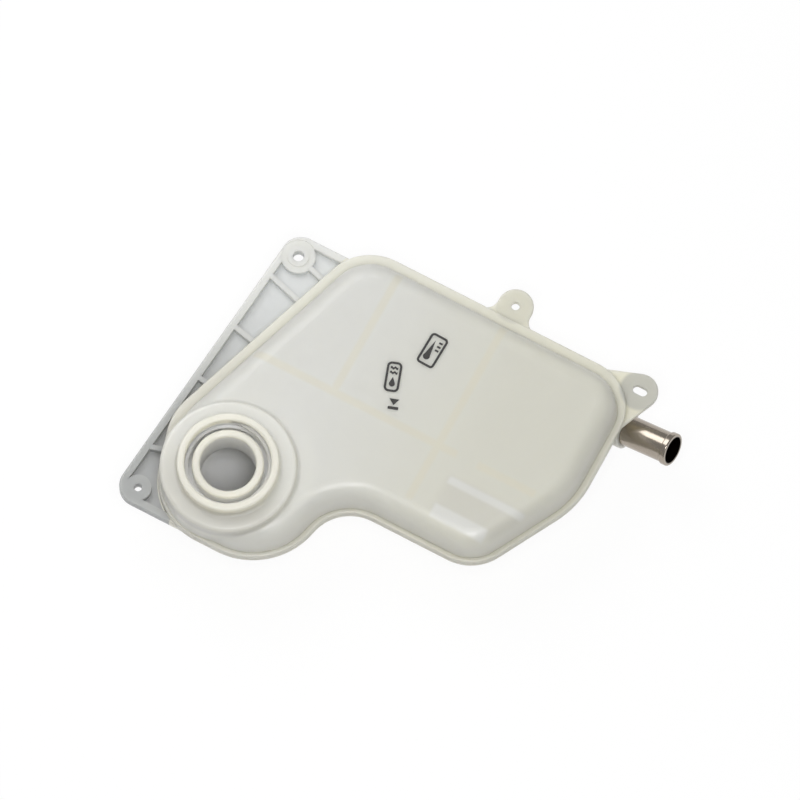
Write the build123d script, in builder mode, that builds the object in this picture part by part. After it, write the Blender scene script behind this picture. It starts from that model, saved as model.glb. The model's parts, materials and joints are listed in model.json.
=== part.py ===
from build123d import *
import math
import os

# Coolant expansion tank: two moulded half shells welded at a seam, and a hose pipe.
# Millimetres. The origin is the top of the upper bolt hole of the mounting flange.
# X runs along the straight long edge to the pipe, Z runs up out of the filler neck.
# The weld seam lies in the plane Z = 0.

# Wall, draft, and the weld flange: wider on the long edge than on the notch side
wall = 2.6
seam_width = 4.5
wall_shift_x = 1.2
wall_shift_y = -2.2
seam_half = 4.0
seam_round = 1.2
upper_draft = 10.0
lower_draft = 16.0

# Plan outline of the weld flange: corners of the straight edges, and their radii
top_y = 24.0
right_x = 222.5
bottom_y = -126.0
top_left_x = 30.3
right_side = 84.0
low_right_inset = 35.5
left_turn_x = -19.5
left_turn_rise = 1.6
top_left = (top_left_x, top_y)
top_right = (right_x, top_y)
right_turn = (right_x, top_y - right_side)
low_right = (right_x - low_right_inset, bottom_y)
left_turn = (left_turn_x, bottom_y + left_turn_rise)
corner_radii = [40.0, 33.0, 30.0, 60.0, 30.0]

# Round end of the plan below the filler neck, and the hollow beside it
neck_x = 30.5
neck_drop = 18.0
neck_y = bottom_y - neck_drop
neck_end_radius = 42.5
bulge_shift = 14.5
bulge_x = neck_x + bulge_shift
bulge_radius = 46.5
notch_radius = 28.0

# Top panel, and the round plinth that stands on it
panel_z = 22.0
panel_round = 12.0
plinth_radius = 41.0
plinth_rise = 5.0
plinth_z = panel_z + plinth_rise
plinth_round = 0.5 * plinth_rise
plinth_foot_round = 0.45 * plinth_rise

# Filler neck: threaded wall, shelf and inner sealing sleeve
rim_radius = 30.5
mouth_radius = 26.0
rim_rise = 8.5
rim_round = 1.4
rim_foot_round = 2.0
rim_z = plinth_z + rim_rise
shelf_drop = 15.5
shelf_z = rim_z - shelf_drop
sleeve_radius = 21.5
sleeve_bore_radius = 16.8
sleeve_drop = 4.0
sleeve_length = 23.5
sleeve_round = 1.6
sleeve_top_z = rim_z - sleeve_drop
sleeve_foot_z = sleeve_top_z - sleeve_length

# Ribs under the top panel and slosh walls on the floor
rib_width = 2.2
rib_depth = 10.0
long_rib_rise = 54.0
long_rib_y = bottom_y + long_rib_rise
long_rib_gap = 14.0
long_rib_gap_inset = 69.0
long_rib_gap_x = right_x - long_rib_gap_inset
cross_rib_xs = (63.0, 134.0)
slosh_top_z = -14.0
slosh_window = 18.0
slosh_gap_xs = (40.0, 98.0, 180.0)
slosh_gap_y = -30.0

# Chamber at the right with a single and a double wall, and the curved rib round the neck
chamber_right_inset = 23.5
chamber_length = 48.0
chamber_top_drop = 16.0
chamber_low_drop = 37.0
chamber_right_x = right_x - chamber_right_inset
chamber_left_x = chamber_right_x - chamber_length
chamber_top_y = long_rib_y - chamber_top_drop
chamber_low_y = long_rib_y - chamber_low_drop
double_wall_pitch = 4.0
double_wall_length = 33.0
curved_rib_radius = 50.0
curved_rib_start = 8.0
curved_rib_sweep = 44.0

# Lower shell
bowl_depth = 48.0
bowl_round = 9.0

# Mounting flange: a tray with a lip, cross ribs and two bolt holes
tray_depth = 8.0
tray_floor = 2.6
tray_lip = 4.5
tray_rib = 3.0
tray_top_drop = 11.0
tray_bottom_drop = 40.2
tray_top_y = top_y - tray_top_drop
tray_bottom_y = neck_y - tray_bottom_drop
tray_left_top_x = -9.8
tray_left_bottom_x = -28.4
tray_corner = 12.0
bolt_hole_radius = 3.4
bolt_boss_radius = 10.5
bolt_seat_radius = 6.5
bolt_seat_step = 1.0
low_hole_x = -15.0
low_hole_drop = 30.0
low_hole = (low_hole_x, neck_y - low_hole_drop)
low_hole_radius = 2.5
low_boss_radius = 8.0
tray_rib_reach = 48.0
tray_rib_places = ((13.9, -4.4), (0.2, -21.1), (-6.3, -58.7), (-15.0, -96.0), (-19.9, -147.7))
tray_rib_slants = (-16.0, -16.0, -12.0, -8.0, 15.0)
tray_round = 1.0

# Fixing lugs
lug_radius = 11.0
top_lug_x = 130.4
top_lug_rise = 9.7
top_lug = (top_lug_x, top_y + top_lug_rise)
top_lug_hole_radius = 2.6
top_lug_root = 8.0
right_lug_inset = 1.1
right_lug_drop = 2.3
lug_root_reach = 32.0
lug_root_inset = 2.0
right_lug = (right_x - right_lug_inset, top_y - right_lug_drop)
right_lug_top_root = (right_x - lug_root_reach, top_y - lug_root_inset)
right_lug_low_root = (right_x - lug_root_inset, top_y - lug_root_reach)
slot_length = 9.2
slot_width = 5.4

# Hose pipe and the boss it is set in
pipe_radius = 9.5
pipe_bore_radius = 8.3
pipe_root_inset = 16.5
pipe_root_drop = 21.0
pipe_root_depth = 26.5
pipe_root = (right_x - pipe_root_inset, top_y - pipe_root_drop, -pipe_root_depth)
pipe_rise = 17.0
pipe_yaw = -2.0
pipe_seat = 6.0
pipe_reach = 51.0
pipe_bead_height = 0.9
pipe_bead_length = 4.0
pipe_bead_round = 0.8
boss_wall = 2.4
boss_reach = 18.5
boss_back = 12.0
boss_bore_radius = 7.3
boss_bore_back = 8.0


def tangent_point(start, centre, radius, side):
    """The point where a line from start touches a circle, on its left for side 1."""
    dx = centre[0] - start[0]
    dy = centre[1] - start[1]
    away = math.hypot(dx, dy)
    heading = math.atan2(dy, dx) + side * math.asin(radius / away)
    along = math.sqrt(away**2 - radius**2)
    return (start[0] + along * math.cos(heading), start[1] + along * math.sin(heading))


def angle_to(centre, point):
    """The direction from centre to point, in degrees."""
    return math.degrees(math.atan2(point[1] - centre[1], point[0] - centre[0]))


def plan_face(inset):
    """The plan outline of the tank, moved inwards by inset."""
    end_y = neck_y - neck_end_radius
    neck = (neck_x, neck_y)
    bulge = (bulge_x, end_y + bulge_radius)
    notch_y = bottom_y - notch_radius
    notch_run = math.sqrt((bulge_radius + notch_radius) ** 2 - (notch_y - bulge[1]) ** 2)
    notch = (bulge_x + notch_run, notch_y)
    meeting = tangent_point(left_turn, neck, neck_end_radius, -1)
    notch_end = angle_to(notch, bulge)
    bulge_end = angle_to(bulge, notch)
    neck_end = angle_to(neck, meeting) % 360
    with BuildSketch(mode=Mode.PRIVATE) as plan:
        with BuildLine():
            FilletPolyline(
                meeting, left_turn, top_left, top_right, right_turn, low_right,
                (notch[0], bottom_y), radius=corner_radii,
            )
            CenterArc(notch, notch_radius, 90, notch_end - 90)
            CenterArc(bulge, bulge_radius, -90, 90 + bulge_end)
            Line((bulge_x, end_y), (neck_x, end_y))
            CenterArc(neck, neck_end_radius, neck_end, 270 - neck_end)
        make_face()
        if inset:
            offset(amount=-inset)
    return plan.sketch


def wall_face(depth):
    """The outline of the wall at the seam, moved inwards by depth."""
    return plan_face(seam_width + depth).moved(Location((wall_shift_x, wall_shift_y, 0)))


def rib_face():
    """The plan of the ribs and walls that stand in both half shells."""
    chamber_height = chamber_top_y - chamber_low_y
    double_wall_ys = [chamber_low_y + side * double_wall_pitch / 2 for side in (1, -1)]
    with BuildSketch(mode=Mode.PRIVATE) as ribs:
        with Locations((right_x / 2, long_rib_y)):
            Rectangle(2 * right_x, rib_width)
        with Locations((long_rib_gap_x, long_rib_y)):
            Rectangle(long_rib_gap, rib_width, mode=Mode.SUBTRACT)
        for x, foot_y in zip(cross_rib_xs, (long_rib_y, chamber_low_y)):
            with Locations((x, foot_y)):
                Rectangle(rib_width, top_y - foot_y, align=(Align.CENTER, Align.MIN))
        with Locations((chamber_left_x, chamber_top_y)):
            Rectangle(chamber_length, rib_width, align=(Align.MIN, Align.CENTER))
        with Locations(*[(chamber_left_x, y) for y in double_wall_ys]):
            Rectangle(double_wall_length, rib_width, align=(Align.MIN, Align.CENTER))
        with Locations((chamber_left_x, chamber_low_y)):
            Rectangle(rib_width, chamber_height, align=(Align.CENTER, Align.MIN))
        with Locations((neck_x, neck_y)):
            SlotArc(CenterArc((0, 0), curved_rib_radius, curved_rib_start, curved_rib_sweep), rib_width)
    return ribs.sketch


def tray_face(inset):
    """The plan of the mounting flange, reaching in under the tank, moved inwards by inset."""
    with BuildSketch(mode=Mode.PRIVATE) as tray:
        with BuildLine():
            FilletPolyline(
                (neck_x, tray_top_y), (tray_left_top_x, tray_top_y),
                (tray_left_bottom_x, tray_bottom_y), (neck_x, tray_bottom_y),
                radius=tray_corner,
            )
            Line((neck_x, tray_bottom_y), (neck_x, tray_top_y))
        make_face()
        if inset:
            offset(amount=-inset)
    return tray.sketch


def lug_face(centre, roots):
    """The plan of a rounded lug whose straight sides run to two points on the tank."""
    first = tangent_point(roots[0], centre, lug_radius, -1)
    last = tangent_point(roots[1], centre, lug_radius, 1)
    with BuildSketch(mode=Mode.PRIVATE) as lug:
        with BuildLine():
            Polyline(roots[0], first, centre, last, roots[1], close=True)
        make_face()
        with Locations(centre):
            Circle(lug_radius)
    return lug.sketch


top_lug_roots = [(top_lug[0] + side * lug_radius, bottom_y) for side in (1, -1)]
right_lug_roots = [right_lug_low_root, right_lug_top_root]
slosh_gaps = [(x, long_rib_y) for x in slosh_gap_xs] + [(x, slosh_gap_y) for x in cross_rib_xs]
neck_axis = Axis((neck_x, neck_y, 0), (0, 0, 1))
neck_section = Plane(origin=(neck_x, neck_y, 0), x_dir=(1, 0, 0), z_dir=(0, -1, 0))
pipe_plane = Plane(pipe_root, x_dir=(0, 1, 0), z_dir=(1, 0, 0)).rotated((0, -pipe_rise, pipe_yaw))

# Core of the upper shell: its slots mould the ribs under the panel
with BuildPart() as upper_core:
    with BuildSketch():
        add(wall_face(wall))
    extrude(amount=panel_z - wall, taper=upper_draft)
    fillet(upper_core.faces().sort_by(Axis.Z)[-1].edges(), radius=panel_round - wall)
    with BuildSketch(Plane.XY.offset(panel_z - wall - rib_depth)):
        add(rib_face())
    extrude(amount=2 * rib_depth, mode=Mode.SUBTRACT)
    with BuildSketch():
        with Locations((neck_x, neck_y)):
            Circle(plinth_radius - wall)
    extrude(amount=plinth_z - wall)

# Plinth and neck as one turned form
with BuildPart() as neck_tower:
    with BuildSketch(neck_section) as tower_profile:
        with BuildLine():
            Polyline(
                (0, 0), (plinth_radius, 0), (plinth_radius, plinth_z), (rim_radius, plinth_z),
                (rim_radius, rim_z), (0, rim_z), close=True,
            )
        make_face()
        fillet(tower_profile.vertices().sort_by_distance((plinth_radius, plinth_z))[0], plinth_round)
        fillet(tower_profile.vertices().sort_by_distance((rim_radius, plinth_z))[0], rim_foot_round)
        fillet(tower_profile.vertices().sort_by_distance((rim_radius, rim_z))[0], rim_round)
    revolve(axis=neck_axis)

# Upper half of the weld flange
with BuildPart() as upper_flange:
    with BuildSketch():
        add(plan_face(0))
    extrude(amount=seam_half)
    fillet(upper_flange.edges().filter_by(Axis.Z, reverse=True), radius=seam_round)

# Upper shell: weld flange, panel, plinth and filler neck
with BuildPart() as upper_shell:
    with BuildSketch():
        add(wall_face(0))
    extrude(amount=panel_z, taper=upper_draft)
    fillet(upper_shell.faces().sort_by(Axis.Z)[-1].edges(), radius=panel_round)
    add(neck_tower.part)
    plinth_foot = upper_shell.edges(Select.NEW).filter_by_position(Axis.Z, seam_round, panel_z)
    fillet(plinth_foot, radius=plinth_foot_round)
    add(upper_flange.part)
    add(upper_core.part, mode=Mode.SUBTRACT)
    with BuildSketch(Plane.XY.offset(shelf_z - wall)):
        with Locations((neck_x, neck_y)):
            Circle(rim_radius)
    extrude(amount=plinth_z - shelf_z)
    with BuildSketch(Plane.XY.offset(shelf_z)):
        with Locations((neck_x, neck_y)):
            Circle(mouth_radius)
    extrude(amount=rim_z, mode=Mode.SUBTRACT)
    with BuildSketch(Plane.XY.offset(sleeve_foot_z)):
        with Locations((neck_x, neck_y)):
            Circle(sleeve_radius)
    extrude(amount=sleeve_top_z - sleeve_foot_z)
    with BuildSketch(Plane.XY.offset(sleeve_foot_z)):
        with Locations((neck_x, neck_y)):
            Circle(sleeve_bore_radius)
    extrude(amount=rim_z, mode=Mode.SUBTRACT)
    rings = upper_shell.edges().filter_by(GeomType.CIRCLE)
    fillet(rings.filter_by_position(Axis.Z, sleeve_top_z, sleeve_top_z), radius=sleeve_round)
    mouth_edge = upper_shell.edges().filter_by(GeomType.CIRCLE).sort_by(Axis.Z)[-2:]
    fillet(mouth_edge.sort_by(SortBy.RADIUS)[0], radius=rim_round)

# Core of the lower shell: its slots mould the slosh walls
with BuildPart() as lower_core:
    with BuildSketch():
        add(wall_face(wall))
    extrude(amount=-(bowl_depth - wall), taper=lower_draft)
    fillet(lower_core.faces().sort_by(Axis.Z)[0].edges(), radius=bowl_round - wall)
    with BuildSketch(Plane.XY.offset(slosh_top_z)):
        add(rib_face())
        with Locations(*slosh_gaps):
            Rectangle(slosh_window, slosh_window, mode=Mode.SUBTRACT)
    extrude(amount=-bowl_depth, mode=Mode.SUBTRACT)

# Lower half of the weld flange with its two lugs
with BuildPart() as lower_flange:
    with BuildSketch() as flange_plan:
        add(plan_face(0))
        add(lug_face(top_lug, top_lug_roots))
        add(lug_face(right_lug, right_lug_roots))
        for root in top_lug_roots:
            fillet(flange_plan.vertices().sort_by_distance((root[0], top_y))[0], top_lug_root)
    extrude(amount=-seam_half)
    fillet(lower_flange.edges().filter_by(Axis.Z, reverse=True), radius=seam_round)

# Mounting flange before its pockets are cut
with BuildPart() as tray:
    with BuildSketch():
        add(tray_face(0))
    extrude(amount=-tray_depth)
    fillet(tray.edges().filter_by(Axis.Z, reverse=True), radius=tray_round)

# Lower shell: bowl, weld flange, mounting flange, lugs and pipe boss
with BuildPart() as lower_shell:
    with BuildSketch():
        add(wall_face(0))
    extrude(amount=-bowl_depth, taper=lower_draft)
    fillet(lower_shell.faces().sort_by(Axis.Z)[0].edges(), radius=bowl_round)
    with BuildSketch(pipe_plane.offset(-boss_back)):
        Circle(pipe_radius + boss_wall)
    extrude(amount=boss_back + boss_reach)
    add(tray.part)
    add(lower_flange.part)
    add(lower_core.part, mode=Mode.SUBTRACT)
    with BuildSketch():
        add(tray_face(tray_lip))
        add(plan_face(0), mode=Mode.SUBTRACT)
        Circle(bolt_boss_radius, mode=Mode.SUBTRACT)
        with Locations(low_hole):
            Circle(low_boss_radius, mode=Mode.SUBTRACT)
        for place, slant in zip(tray_rib_places, tray_rib_slants):
            with Locations(place):
                Rectangle(tray_rib_reach, tray_rib, rotation=slant, mode=Mode.SUBTRACT)
    extrude(amount=-(tray_depth - tray_floor), mode=Mode.SUBTRACT)
    with BuildSketch():
        Circle(bolt_boss_radius)
        Circle(bolt_seat_radius, mode=Mode.SUBTRACT)
    extrude(amount=-bolt_seat_step, mode=Mode.SUBTRACT)
    with BuildSketch():
        Circle(bolt_hole_radius)
        with Locations(low_hole):
            Circle(low_hole_radius)
        with Locations(top_lug):
            Circle(top_lug_hole_radius)
        with Locations(right_lug):
            SlotOverall(slot_length, slot_width)
    extrude(amount=-tray_depth, mode=Mode.SUBTRACT)
    with BuildSketch(pipe_plane.offset(pipe_seat)):
        Circle(pipe_radius)
    extrude(amount=boss_reach, mode=Mode.SUBTRACT)
    with BuildSketch(pipe_plane.offset(-boss_bore_back)):
        Circle(boss_bore_radius)
    extrude(amount=boss_bore_back + boss_reach, mode=Mode.SUBTRACT)

# Hose pipe with a rolled bead at its end
with BuildPart() as outlet_pipe:
    with BuildSketch(pipe_plane.offset(pipe_seat)):
        Circle(pipe_radius)
    extrude(amount=pipe_reach - pipe_seat)
    with BuildSketch(pipe_plane.offset(pipe_reach - pipe_bead_length)):
        Circle(pipe_radius + pipe_bead_height)
    extrude(amount=pipe_bead_length)
    bead_edges = outlet_pipe.edges().filter_by(GeomType.CIRCLE).sort_by(SortBy.RADIUS)[-2:]
    fillet(bead_edges, radius=pipe_bead_round)
    with BuildSketch(pipe_plane.offset(pipe_seat)):
        Circle(pipe_bore_radius)
    extrude(amount=pipe_reach, mode=Mode.SUBTRACT)

upper_shell.part.label = "upper_shell"
lower_shell.part.label = "lower_shell"
outlet_pipe.part.label = "outlet_pipe"

os.makedirs("parts", exist_ok=True)
export_step(upper_shell.part, "parts/upper_shell.step")
export_step(lower_shell.part, "parts/lower_shell.step")
export_step(outlet_pipe.part, "parts/outlet_pipe.step")
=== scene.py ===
import json
from math import cos, pi, radians, sin

import bmesh
import bpy
from mathutils import Matrix, Vector


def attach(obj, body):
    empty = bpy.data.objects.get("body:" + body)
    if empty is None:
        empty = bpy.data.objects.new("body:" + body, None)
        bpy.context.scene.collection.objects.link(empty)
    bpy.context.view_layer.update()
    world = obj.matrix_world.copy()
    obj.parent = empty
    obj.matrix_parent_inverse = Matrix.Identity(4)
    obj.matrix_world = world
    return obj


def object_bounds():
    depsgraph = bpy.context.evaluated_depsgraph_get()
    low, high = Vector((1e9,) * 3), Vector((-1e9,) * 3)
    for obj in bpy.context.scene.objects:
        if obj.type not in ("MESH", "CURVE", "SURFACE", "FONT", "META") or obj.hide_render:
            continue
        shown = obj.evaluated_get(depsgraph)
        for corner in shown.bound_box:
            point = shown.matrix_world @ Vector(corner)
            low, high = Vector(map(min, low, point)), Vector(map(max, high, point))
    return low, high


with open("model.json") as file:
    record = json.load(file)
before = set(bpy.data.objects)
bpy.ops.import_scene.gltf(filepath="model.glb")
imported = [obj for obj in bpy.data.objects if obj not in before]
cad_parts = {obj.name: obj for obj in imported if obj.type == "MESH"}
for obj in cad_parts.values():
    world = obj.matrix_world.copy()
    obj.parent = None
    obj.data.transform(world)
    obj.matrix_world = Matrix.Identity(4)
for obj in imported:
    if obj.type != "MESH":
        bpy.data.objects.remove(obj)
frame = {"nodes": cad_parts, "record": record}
cad_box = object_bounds()

MM = 0.001

# Places that the looks share with the solids, in metres
mounts = {mount["name"]: mount for mount in frame["record"]["mounts"]}
neck_x, neck_y = mounts["filler_thread"]["pos_m"][:2]
floor_gap = 0.2 * MM
floor_z = cad_box[0].z - floor_gap
panel_z = 22 * MM
top_zs = (panel_z - 2 * MM, panel_z - 8 * MM)
bead_z = 4 * MM
bead_edge = 0.6 * MM
bead_painted_shade_ys = (-100 * MM, -20 * MM)
wall_line_top = Vector((28.96 * MM, 20 * MM))
wall_line_foot = Vector((-12.65 * MM, -104 * MM))
wall_turn = (22.4 * MM, -125.2 * MM)
wall_turn_radius = 40 * MM
neck_end_radius = 42.5 * MM
tray_corner_x = 12 * MM
tray_shade_ys = (-150 * MM, 10 * MM)
pocket_shade_zs = (-3.5 * MM, -1.5 * MM)
tray_edge = 0.8 * MM
lug_radius = 11 * MM
lug_edge = 3 * MM
plinth_radius = 41 * MM
plinth_edge = 2 * MM
plinth_shade_ys = (-168 * MM, -138 * MM)
mouth_radius = 26 * MM
rim_radius = 30.5 * MM
ring_low_z = 29 * MM
ring_edge = 1 * MM
mouth_edge = 0.4 * MM
inner_light_zs = (-20 * MM, -10 * MM)
inner_light_facing = (0.6, 0.2)
steep_shade_facing = (0.35, 0.95)
warm_shade_xs = (170 * MM, 40 * MM)

# Ribs whose painted shade shows faintly through the top: one along the part and two across it
long_rib_y = -72 * MM
long_rib_ends = (10 * MM, 198 * MM)
long_rib_gap = (148 * MM, 159 * MM)
cross_rib_top_y = 12 * MM
cross_rib_feet = {63 * MM: -72 * MM, 134 * MM: -109 * MM}
rib_half_width = 1.1 * MM
rib_blur = 2.6 * MM
bar_right_xs = {-88 * MM: 199 * MM, -107 * MM: 184 * MM, -111 * MM: 184 * MM}
bar_left_x = 151 * MM
bar_half_width = 1.1 * MM
chamber_ys = (-105 * MM, -90 * MM)
chamber_xs = (153 * MM, 197 * MM)
chamber_blur = 8 * MM

# Thread in the filler mouth
thread_pitch = 6 * MM
thread_turns = 2
thread_top_z = 31.5 * MM
thread_crest_radius = 24 * MM
thread_root_half = 1.5 * MM
thread_crest_half = 0.6 * MM
thread_sink = 0.3 * MM
thread_steps = 96
thread_lead_steps = 8
thread_start_angle = radians(118)
thread_weld = 0.001 * MM

# Printed pictograms on the top
ink_height = 0.06 * MM
ink_sink = 0.02 * MM
stroke = 1.4 * MM
arc_steps = 8
drop_lean = radians(35)

# Drop over two waves, in a frame
fluid_place = (90 * MM, -47 * MM)
fluid_turn = radians(19)
fluid_frame = (9.2 * MM, 19 * MM, 3 * MM)
fluid_drop = (1.8 * MM, 4.4 * MM)
fluid_drop_y = -4.4 * MM
wave_size = (4.6 * MM, 0.4 * MM, 2)
wave_ys = (2.6 * MM, 5.6 * MM)

# Level arrow over a bar
level_place = (98.3 * MM, -61.7 * MM)
level_turn = fluid_turn
arrow_half = 3 * MM
arrow_tip_y = -1 * MM
level_bar = (6.4 * MM, 1.8 * MM, 0.4 * MM)
level_bar_y = -2.8 * MM

# Thermometer with ticks, in a frame
heat_place = (103 * MM, -21.3 * MM)
heat_turn = radians(-2)
heat_frame = (11.5 * MM, 21 * MM, 2.4 * MM)
heat_drop = (2.1 * MM, 11.5 * MM)
heat_drop_shift = (-1.4 * MM, -4.8 * MM)
tick_bar = (2.4 * MM, 1.2 * MM, 0.3 * MM)
tick_x = 2.3 * MM
tick_first_y = 1 * MM
tick_pitch = 2.6 * MM
tick_count = 3

# Colours as linear values, among them painted shade for the pipe side, walls, near bead, ribs,
# chamber, tray, pockets, plinth and pipe bore, and painted light for the inside of the neck
ivory_light = (0.88, 0.87, 0.77, 1)
ivory_deep = (0.83, 0.815, 0.70, 1)
ivory_warm_shade = (0.77, 0.745, 0.60, 1)
rim_tan = (0.80, 0.77, 0.66, 1)
plinth_painted_shade = (0.60, 0.585, 0.53, 1)
inner_painted_light = (0.95, 0.94, 0.88, 1)
rib_shade_tan = (0.80, 0.74, 0.56, 1)
wall_shade_tan = (0.86, 0.825, 0.70, 1)
bead_ivory = (0.74, 0.72, 0.60, 1)
bead_painted_shade = (0.56, 0.54, 0.47, 1)
tray_pale = (0.72, 0.725, 0.70, 1)
tray_shade_grey = (0.39, 0.40, 0.40, 1)
pocket_shade_pale = (0.62, 0.64, 0.65, 1)
pocket_shade_grey = (0.315, 0.325, 0.34, 1)
lug_grey = (0.50, 0.50, 0.46, 1)
bar_ivory = (0.86, 0.85, 0.76, 1)
chamber_shade_tan = (0.66, 0.64, 0.56, 1)
pipe_brown = (0.44, 0.39, 0.33, 1)
pipe_dark = (0.34, 0.30, 0.255, 1)
pipe_bore_shade = (0.02, 0.015, 0.01, 1)
ink_black = (0.012, 0.011, 0.010, 1)
ink_worn = (0.05, 0.048, 0.044, 1)
floor_white = (0.86, 0.86, 0.86, 1)
pure_white = (1, 1, 1, 1)

# How much of each tint and painted shade goes over the plastic below it
warm_shade_share = 0.85
wall_shade_share = 0.5
bead_share = 0.6
rib_shade_share = 0.55
chamber_shade_share = 0.6
bar_share = 0.8
tray_share = 0.95
plinth_shade_share = 0.7
rim_share = 0.8
lug_shares = {"top_lug_hole": 0.5, "right_lug_slot": 0.9}

# Surface of each material
scatter_reach = (1.0, 0.98, 0.92)
scatter_scale = 10 * MM
cloud_scale = 16
plastic_gloss = (0.30, 0.44)
plastic_gloss_scale = 90
plastic_grain = (0.12, 0.05 * MM)
plastic_grain_scale = 700
pipe_gloss = (0.16, 0.24)
pipe_metallic = 0.9
pipe_grain = (0.1, 0.05 * MM)
pipe_streak_scale = (60, 900, 900)
bore_shade_edges = (0.2 * MM, 0.6 * MM)
ink_roughness = 0.5
ink_grain = (0.1, 0.02 * MM)
ink_coat_scale = 900
floor_roughness = 0.9
floor_glow = 1.02
floor_glow_share = 0.9

# Light and camera
view_azimuth = radians(28.2)
view_elevation = radians(72)
view_distance = 6.0
view_width = 0.48
aim = Vector((97.2 * MM, -51.6 * MM, 0))
key_offset = Vector((-0.6, 0.35, 0.9))
key_size = 0.7
key_power = 4.6
front_distance = 1.6
front_size = 0.4
front_power = 11.8
world_strength = 0.33
floor_half = 6


# Small helpers for node trees
def add(tree, kind, inputs=None, **settings):
    """One node with its settings, where an input is a value or another node's socket."""
    node = tree.nodes.new(kind)
    for name, value in settings.items():
        setattr(node, name, value)
    for name, value in (inputs or {}).items():
        if isinstance(value, bpy.types.NodeSocket):
            tree.links.new(value, node.inputs[name])
        else:
            node.inputs[name].default_value = value
    return node


def maths(tree, operation, *values):
    """A Math node's result."""
    return add(tree, "ShaderNodeMath", dict(enumerate(values)), operation=operation).outputs[0]


def vector(tree, operation, *values):
    """A Vector Math node."""
    return add(tree, "ShaderNodeVectorMath", dict(enumerate(values)), operation=operation)


def fade(tree, value, start, end):
    """1 up to start, falling smoothly to 0 at end; start above end gives a rise."""
    inputs = {"Value": value, "From Min": start, "From Max": end, "To Min": 1.0, "To Max": 0.0}
    return add(tree, "ShaderNodeMapRange", inputs, interpolation_type="SMOOTHSTEP").outputs[0]


def span(tree, value, ends, blur):
    """1 between two ends and 0 beyond them, with a soft change over blur."""
    low = fade(tree, value, ends[0], ends[0] - blur)
    high = fade(tree, value, ends[1], ends[1] + blur)
    return maths(tree, "MULTIPLY", low, high)


def line(tree, value, place, half_width, blur):
    """1 on a straight line at place and 0 beyond its width, with soft sides."""
    distance = maths(tree, "ABSOLUTE", maths(tree, "SUBTRACT", value, place))
    return fade(tree, distance, half_width, half_width + blur)


def blend(tree, factor, first, second):
    """A colour between two others."""
    inputs = {0: factor, 6: first, 7: second}
    return add(tree, "ShaderNodeMix", inputs, data_type="RGBA").outputs[2]


def noise(tree, place, scale, detail):
    """Soft noise between 0 and 1."""
    inputs = {"Vector": place, "Scale": scale, "Detail": detail}
    return add(tree, "ShaderNodeTexNoise", inputs).outputs[0]


def plan_distance(tree, plan, centre):
    """How far a point lies from a centre, seen from above."""
    return vector(tree, "DISTANCE", plan, (*centre, 0)).outputs["Value"]


def new_material(name):
    """An empty material with its shader, and the place of each surface point."""
    material = bpy.data.materials.new(name)
    material.use_nodes = True
    tree = material.node_tree
    shader = tree.nodes["Principled BSDF"]
    place = add(tree, "ShaderNodeTexCoord").outputs["Object"]
    return material, tree, shader, place


def tint(tree, mask, share, colour, over):
    """A colour with a share of another one over it, where a mask says."""
    return blend(tree, maths(tree, "MULTIPLY", mask, share), colour, over)


def gloss(tree, shader, pattern, ends):
    """A roughness that follows a pattern between two ends."""
    inputs = {"Value": pattern, "To Min": ends[0], "To Max": ends[1]}
    roughness = add(tree, "ShaderNodeMapRange", inputs).outputs[0]
    tree.links.new(roughness, shader.inputs["Roughness"])


def grain(tree, shader, height, strength, distance):
    """A fine relief on a shader."""
    inputs = {"Height": height, "Strength": strength, "Distance": distance}
    bump = add(tree, "ShaderNodeBump", inputs)
    tree.links.new(bump.outputs[0], shader.inputs["Normal"])


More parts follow.
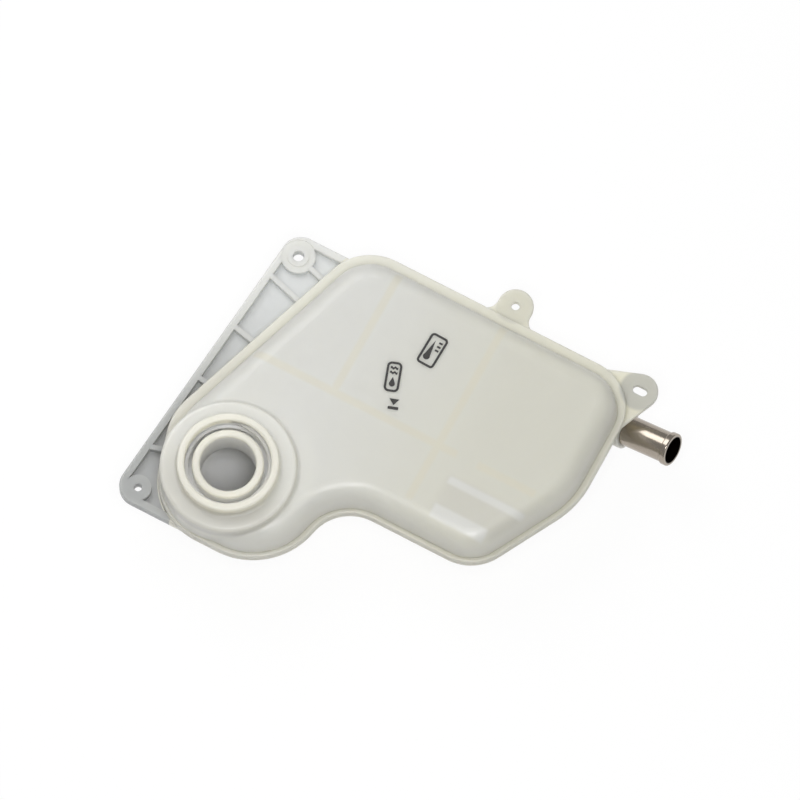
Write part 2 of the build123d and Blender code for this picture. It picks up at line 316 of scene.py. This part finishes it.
# Materials
def shell_plastic():
    """Milky natural plastic, cool and thin on the tray; warm painted shade on the steep walls and
    rib lines, more painted shade toward the pipe, on the near bead, chamber, tray and plinth, and
    painted light inside the neck.
    """
    material, tree, shader, place = new_material("translucent_plastic")
    x, y, z = add(tree, "ShaderNodeSeparateXYZ", {0: place}).outputs
    facing = add(tree, "ShaderNodeNewGeometry").outputs["Normal"]
    facing_z = add(tree, "ShaderNodeSeparateXYZ", {0: facing}).outputs[2]

    plan = add(tree, "ShaderNodeCombineXYZ", {"X": x, "Y": y}).outputs[0]
    reach = plan_distance(tree, plan, (neck_x, neck_y))

    cloud = noise(tree, place, cloud_scale, 3)
    colour = blend(tree, cloud, ivory_light, ivory_deep)

    # The plastic is a little yellower toward the pipe, and darker there as painted shade
    colour = tint(tree, fade(tree, x, *warm_shade_xs), warm_shade_share, colour, ivory_warm_shade)

    # Steep walls are painted deeper in colour than the flat top, as painted shade
    steep_shade = fade(tree, maths(tree, "ABSOLUTE", facing_z), *steep_shade_facing)
    colour = tint(tree, steep_shade, wall_shade_share, colour, wall_shade_tan)

    # The thick welded bead scatters more light, so its own colour is deeper; toward low y, on the
    # hollow side, painted shade darkens it further
    bead = fade(tree, maths(tree, "ABSOLUTE", z), bead_z, bead_z + bead_edge)
    bead_colour = blend(tree, fade(tree, y, *bead_painted_shade_ys), bead_ivory, bead_painted_shade)
    colour = tint(tree, bead, bead_share, colour, bead_colour)

    # Painted shade in faint lines where the ribs meet the top from inside
    long_line = line(tree, y, long_rib_y, rib_half_width, rib_blur)
    long_line = maths(tree, "MULTIPLY", long_line, span(tree, x, long_rib_ends, rib_blur))
    gap = span(tree, x, long_rib_gap, rib_blur)
    rib_shade_lines = maths(tree, "MULTIPLY", long_line, maths(tree, "SUBTRACT", 1.0, gap))
    for rib_x, foot_y in cross_rib_feet.items():
        cross_line = line(tree, x, rib_x, rib_half_width, rib_blur)
        cross_ends = (foot_y, cross_rib_top_y)
        cross_line = maths(tree, "MULTIPLY", cross_line, span(tree, y, cross_ends, rib_blur))
        rib_shade_lines = maths(tree, "MAXIMUM", rib_shade_lines, cross_line)
    on_top = fade(tree, z, *top_zs)
    rib_shade_lines = maths(tree, "MULTIPLY", rib_shade_lines, on_top)
    colour = tint(tree, rib_shade_lines, rib_shade_share, colour, rib_shade_tan)

    # The chamber is darkened with painted shade, with paler bars over its walls
    chamber_x = span(tree, x, chamber_xs, chamber_blur)
    chamber_y = span(tree, y, chamber_ys, chamber_blur)
    chamber_shade = maths(tree, "MULTIPLY", chamber_x, chamber_y)
    chamber_shade = maths(tree, "MULTIPLY", chamber_shade, on_top)
    colour = tint(tree, chamber_shade, chamber_shade_share, colour, chamber_shade_tan)
    for bar_y, bar_right_x in bar_right_xs.items():
        bar = line(tree, y, bar_y, bar_half_width, rib_blur)
        bar = maths(tree, "MULTIPLY", bar, span(tree, x, (bar_left_x, bar_right_x), rib_blur))
        bar = maths(tree, "MULTIPLY", bar, on_top)
        colour = tint(tree, bar, bar_share, colour, bar_ivory)

    # The thin tray beside the tank: cool and grey, partly as thin plastic and partly as painted
    # shade
    along = (wall_line_foot - wall_line_top).normalized()
    side_x = maths(tree, "MULTIPLY", maths(tree, "SUBTRACT", x, wall_line_top.x), along.y)
    side_y = maths(tree, "MULTIPLY", maths(tree, "SUBTRACT", y, wall_line_top.y), along.x)
    beside = maths(tree, "SUBTRACT", side_x, side_y)
    past_neck = maths(tree, "SUBTRACT", reach, neck_end_radius)
    past_turn = maths(tree, "SUBTRACT", plan_distance(tree, plan, wall_turn), wall_turn_radius)
    below_side = maths(tree, "SUBTRACT", wall_line_foot.y, y)
    left_side = maths(tree, "SUBTRACT", tray_corner_x, x)
    corner = maths(tree, "MINIMUM", below_side, left_side)
    tray = maths(tree, "MAXIMUM", beside, corner)
    tray = maths(tree, "MINIMUM", maths(tree, "MINIMUM", tray, past_turn), past_neck)
    tray = fade(tree, tray, tray_edge, 0.0)
    # Painted shade: darker toward low y, and darker still in the pockets
    low = fade(tree, y, *tray_shade_ys)
    lip_colour_and_shade = blend(tree, low, tray_pale, tray_shade_grey)
    pocket_shade_colour = blend(tree, low, pocket_shade_pale, pocket_shade_grey)
    pocket_shade = fade(tree, z, *pocket_shade_zs)
    tray_tone_and_shade = blend(tree, pocket_shade, lip_colour_and_shade, pocket_shade_colour)
    colour = tint(tree, tray, tray_share, colour, tray_tone_and_shade)

    # The plinth's low side is darkened with painted shade
    plinth_low_shade = fade(tree, reach, plinth_radius, plinth_radius + plinth_edge)
    plinth_low_shade = maths(tree, "MULTIPLY", plinth_low_shade, fade(tree, y, *plinth_shade_ys))
    plinth_low_shade = maths(tree, "MULTIPLY", plinth_low_shade, on_top)
    colour = tint(tree, plinth_low_shade, plinth_shade_share, colour, plinth_painted_shade)

    # Rims of the neck and its sleeve are a shade deeper; the inside of the mouth and the inner floor
    # are painted paler, as painted light
    in_neck = fade(tree, reach, rim_radius, rim_radius + ring_edge)
    rims = maths(tree, "MULTIPLY", in_neck, fade(tree, z, ring_low_z + ring_edge, ring_low_z))
    colour = tint(tree, rims, rim_share, colour, rim_tan)
    in_mouth = fade(tree, reach, mouth_radius + mouth_edge, mouth_radius + ring_edge)
    hollow = maths(tree, "MULTIPLY", in_mouth, fade(tree, z, ring_low_z, ring_low_z + ring_edge))
    faces_up = fade(tree, facing_z, *inner_light_facing)
    inner_floor_light = maths(tree, "MULTIPLY", faces_up, fade(tree, z, *inner_light_zs))
    hollow = maths(tree, "MAXIMUM", hollow, inner_floor_light)
    colour = blend(tree, hollow, colour, inner_painted_light)

    # The lugs are single walls too
    for lug, share in lug_shares.items():
        away = plan_distance(tree, plan, mounts[lug]["pos_m"][:2])
        near = fade(tree, away, lug_radius, lug_radius + lug_edge)
        colour = tint(tree, near, share, colour, lug_grey)

    tree.links.new(colour, shader.inputs["Base Color"])
    shader.inputs["Subsurface Weight"].default_value = 1.0
    shader.inputs["Subsurface Radius"].default_value = scatter_reach
    shader.inputs["Subsurface Scale"].default_value = scatter_scale
    gloss(tree, shader, noise(tree, place, plastic_gloss_scale, 4), plastic_gloss)
    grain(tree, shader, noise(tree, place, plastic_grain_scale, 3), *plastic_grain)
    return material


def pipe_metal():
    """Satin drawn tube with faint length-wise marks."""
    material, tree, shader, place = new_material("pipe_metal")
    stretched = add(tree, "ShaderNodeMapping", {0: place, "Scale": pipe_streak_scale}).outputs[0]
    streaks = noise(tree, stretched, 1, 4)
    colour = blend(tree, streaks, pipe_brown, pipe_dark)

    # The bore is painted near-black as painted shade
    bore = mounts["outlet_bore"]
    offset = vector(tree, "SUBTRACT", place, bore["pos_m"]).outputs[0]
    across = vector(tree, "CROSS_PRODUCT", offset, bore["axis"]).outputs[0]
    radius = vector(tree, "LENGTH", across).outputs["Value"]
    bore_radius = bore["dims"]["r_mm"] * MM
    bore_shade = fade(tree, radius, *[bore_radius + edge for edge in bore_shade_edges])
    tree.links.new(blend(tree, bore_shade, colour, pipe_bore_shade), shader.inputs["Base Color"])
    shader.inputs["Metallic"].default_value = pipe_metallic
    gloss(tree, shader, streaks, pipe_gloss)
    grain(tree, shader, streaks, *pipe_grain)
    return material


def ink(name, full, worn):
    """Printed ink with a slightly uneven coat."""
    material, tree, shader, place = new_material(name)
    coat = noise(tree, place, ink_coat_scale, 3)
    tree.links.new(blend(tree, coat, full, worn), shader.inputs["Base Color"])
    shader.inputs["Roughness"].default_value = ink_roughness
    grain(tree, shader, coat, *ink_grain)
    return material


def white_floor():
    """White floor that the camera sees as nearly plain white, with the object's shadow kept."""
    material, tree, shader, place = new_material("white_floor")
    shader.inputs["Base Color"].default_value = floor_white
    shader.inputs["Roughness"].default_value = floor_roughness
    path = add(tree, "ShaderNodeLightPath").outputs
    seen = maths(tree, "MAXIMUM", path["Is Camera Ray"], path["Is Glossy Ray"])
    seen = maths(tree, "MAXIMUM", seen, path["Is Transmission Ray"])
    share = maths(tree, "MULTIPLY", seen, floor_glow_share)
    glow = add(tree, "ShaderNodeEmission", {"Color": pure_white, "Strength": floor_glow})
    mixed = add(tree, "ShaderNodeMixShader", {0: share, 1: shader.outputs[0], 2: glow.outputs[0]})
    tree.links.new(mixed.outputs[0], tree.nodes["Material Output"].inputs["Surface"])
    return material


# Geometry helpers
def new_object(name, mesh_data, material):
    """A finished mesh as an object of the scene."""
    mesh = bpy.data.meshes.new(name)
    mesh_data.to_mesh(mesh)
    mesh_data.free()
    mesh.materials.append(material)
    piece = bpy.data.objects.new(name, mesh)
    bpy.context.scene.collection.objects.link(piece)
    return piece


def arc(centre, radius, start, end, steps):
    """Points along an arc, angles in radians."""
    turn = (end - start) / steps
    angles = [start + turn * step for step in range(steps + 1)]
    return [centre + Vector((radius * cos(a), radius * sin(a))) for a in angles]


def rounded_box(width, height, radius):
    """Outline of a rectangle with round corners, about its middle."""
    corners = ((1, 1, 0), (-1, 1, pi / 2), (-1, -1, pi), (1, -1, 3 * pi / 2))
    points = []
    for side_x, side_y, start in corners:
        centre = Vector((side_x * (width / 2 - radius), side_y * (height / 2 - radius)))
        points += arc(centre, radius, start, start + pi / 2, arc_steps)
    return points


def drop(radius, tip):
    """Outline of a drop: a circle drawn up to a tip above it."""
    round_part = arc(Vector((0, 0)), radius, pi - drop_lean, 2 * pi + drop_lean, 3 * arc_steps)
    return round_part + [Vector((0, tip))]


def wave(length, height, waves):
    """Middle line of a wavy stroke."""
    steps = 2 * arc_steps * waves
    shares = [step / steps for step in range(steps + 1)]
    return [Vector((length * (s - 0.5), height * sin(2 * pi * waves * s))) for s in shares]


class Print:
    """Flat ink shapes, each placed on the top by a middle and a turn, then given a little height."""

    def __init__(self, middle, turn):
        self.mesh = bmesh.new()
        self.move = Matrix.Translation((*middle, panel_z - ink_sink)) @ Matrix.Rotation(turn, 4, "Z")

    def corner(self, point, shift):
        flat = point + Vector(shift)
        return self.mesh.verts.new(self.move @ Vector((flat.x, flat.y, 0)))

    def fill(self, outline, shift=(0, 0)):
        self.mesh.faces.new([self.corner(point, shift) for point in outline])

    def strip(self, first, second, closed, shift=(0, 0)):
        first_row = [self.corner(point, shift) for point in first]
        second_row = [self.corner(point, shift) for point in second]
        count = len(first_row)
        for i in range(count if closed else count - 1):
            after = (i + 1) % count
            self.mesh.faces.new((first_row[i], first_row[after], second_row[after], second_row[i]))

    def frame(self, width, height, radius, shift=(0, 0)):
        inner = rounded_box(width - 2 * stroke, height - 2 * stroke, radius - stroke)
        self.strip(rounded_box(width, height, radius), inner, True, shift)

    def wavy(self, length, height, waves, shift=(0, 0)):
        middle = wave(length, height, waves)
        half = Vector((0, stroke / 2))
        self.strip([p + half for p in middle], [p - half for p in middle], False, shift)

    def piece(self, name, material):
        faces = self.mesh.faces[:]
        raised = bmesh.ops.extrude_face_region(self.mesh, geom=faces)["geom"]
        corners = [item for item in raised if isinstance(item, bmesh.types.BMVert)]
        bmesh.ops.translate(self.mesh, verts=corners, vec=(0, 0, ink_height))
        bmesh.ops.recalc_face_normals(self.mesh, faces=self.mesh.faces[:])
        return new_object(name, self.mesh, material)


def neck_thread(material):
    """The ridge of the filler's thread, run out to nothing at both ends."""
    mesh = bmesh.new()
    rows = []
    count = int(thread_steps * thread_turns)
    for step in range(count + 1):
        angle = thread_start_angle - 2 * pi * step / thread_steps
        height = thread_top_z - thread_pitch * step / thread_steps
        lead = min(1.0, step / thread_lead_steps, (count - step) / thread_lead_steps)
        root = mouth_radius + thread_sink
        crest = root - (root - thread_crest_radius) * lead
        section = (
            (root, thread_root_half),
            (crest, thread_crest_half),
            (crest, -thread_crest_half),
            (root, -thread_root_half),
        )
        row = []
        for radius, lift in section:
            spot = (neck_x + radius * cos(angle), neck_y + radius * sin(angle), height + lift)
            row.append(mesh.verts.new(spot))
        rows.append(row)
    for first, second in zip(rows, rows[1:]):
        for i in range(4):
            after = (i + 1) % 4
            mesh.faces.new((first[i], first[after], second[after], second[i]))
    mesh.faces.new(rows[0])
    mesh.faces.new(rows[-1][::-1])
    bmesh.ops.remove_doubles(mesh, verts=mesh.verts[:], dist=thread_weld)
    bmesh.ops.recalc_face_normals(mesh, faces=mesh.faces[:])
    return new_object("neck_thread", mesh, material)


# The solids take their materials
plastic = shell_plastic()
metal = pipe_metal()
node_materials = {"upper_shell": plastic, "lower_shell": plastic, "outlet_pipe": metal}
for name, material in node_materials.items():
    node = frame["nodes"][name]
    node.data.materials.clear()
    node.data.materials.append(material)

# Thread in the mouth
thread = neck_thread(plastic)
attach(thread, "root")

# Printed marks: a drop over waves, a level arrow and a thermometer
black = ink("black_ink", ink_black, ink_worn)

fluid = Print(fluid_place, fluid_turn)
fluid.frame(*fluid_frame)
fluid.fill(drop(*fluid_drop), (0, fluid_drop_y))
for wave_y in wave_ys:
    fluid.wavy(*wave_size, (0, wave_y))

level = Print(level_place, level_turn)
level.fill([
    Vector((-arrow_half, arrow_half)),
    Vector((0, arrow_tip_y)),
    Vector((arrow_half, arrow_half)),
])
level.fill(rounded_box(*level_bar), (0, level_bar_y))

heat = Print(heat_place, heat_turn)
heat.frame(*heat_frame)
heat.fill(drop(*heat_drop), heat_drop_shift)
for tick in range(tick_count):
    heat.fill(rounded_box(*tick_bar), (tick_x, tick_first_y + tick_pitch * tick))

for name, marks in (("fluid_mark", fluid), ("level_mark", level), ("heat_mark", heat)):
    mark = marks.piece(name, black)
    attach(mark, "root")

# Floor
floor_mesh = bmesh.new()
bmesh.ops.create_grid(floor_mesh, size=floor_half)
bmesh.ops.translate(floor_mesh, verts=floor_mesh.verts[:], vec=(0, 0, floor_z))
floor = new_object("floor", floor_mesh, white_floor())


# Lights and world
def area_light(name, place, target, size, power):
    """A square soft light that faces a point."""
    lamp = bpy.data.lights.new(name, "AREA")
    lamp.size = size
    lamp.energy = power
    light = bpy.data.objects.new(name, lamp)
    light.location = place
    light.rotation_euler = (Vector(target) - Vector(place)).to_track_quat("-Z", "Y").to_euler()
    bpy.context.scene.collection.objects.link(light)
    return light


toward_camera = Vector((
    cos(view_elevation) * sin(view_azimuth),
    -cos(view_elevation) * cos(view_azimuth),
    sin(view_elevation),
))
middle = (cad_box[0] + cad_box[1]) / 2
area_light("key", middle + key_offset, middle, key_size, key_power)
area_light("front", middle + front_distance * toward_camera, middle, front_size, front_power)

world = bpy.data.worlds.new("studio")
bpy.context.scene.world = world
world.use_nodes = True
background = world.node_tree.nodes["Background"]
background.inputs["Color"].default_value = pure_white
background.inputs["Strength"].default_value = world_strength

# Camera at the photograph's angle, far off with a long lens
camera_data = bpy.data.cameras.new("camera")
camera_data.sensor_width = 36
camera_data.lens = camera_data.sensor_width * view_distance / view_width
camera = bpy.data.objects.new("camera", camera_data)
camera.location = aim + view_distance * toward_camera
camera.rotation_euler = (pi / 2 - view_elevation, 0, view_azimuth)
bpy.context.scene.collection.objects.link(camera)
bpy.context.scene.camera = camera
bpy.context.scene.view_settings.view_transform = "Standard"
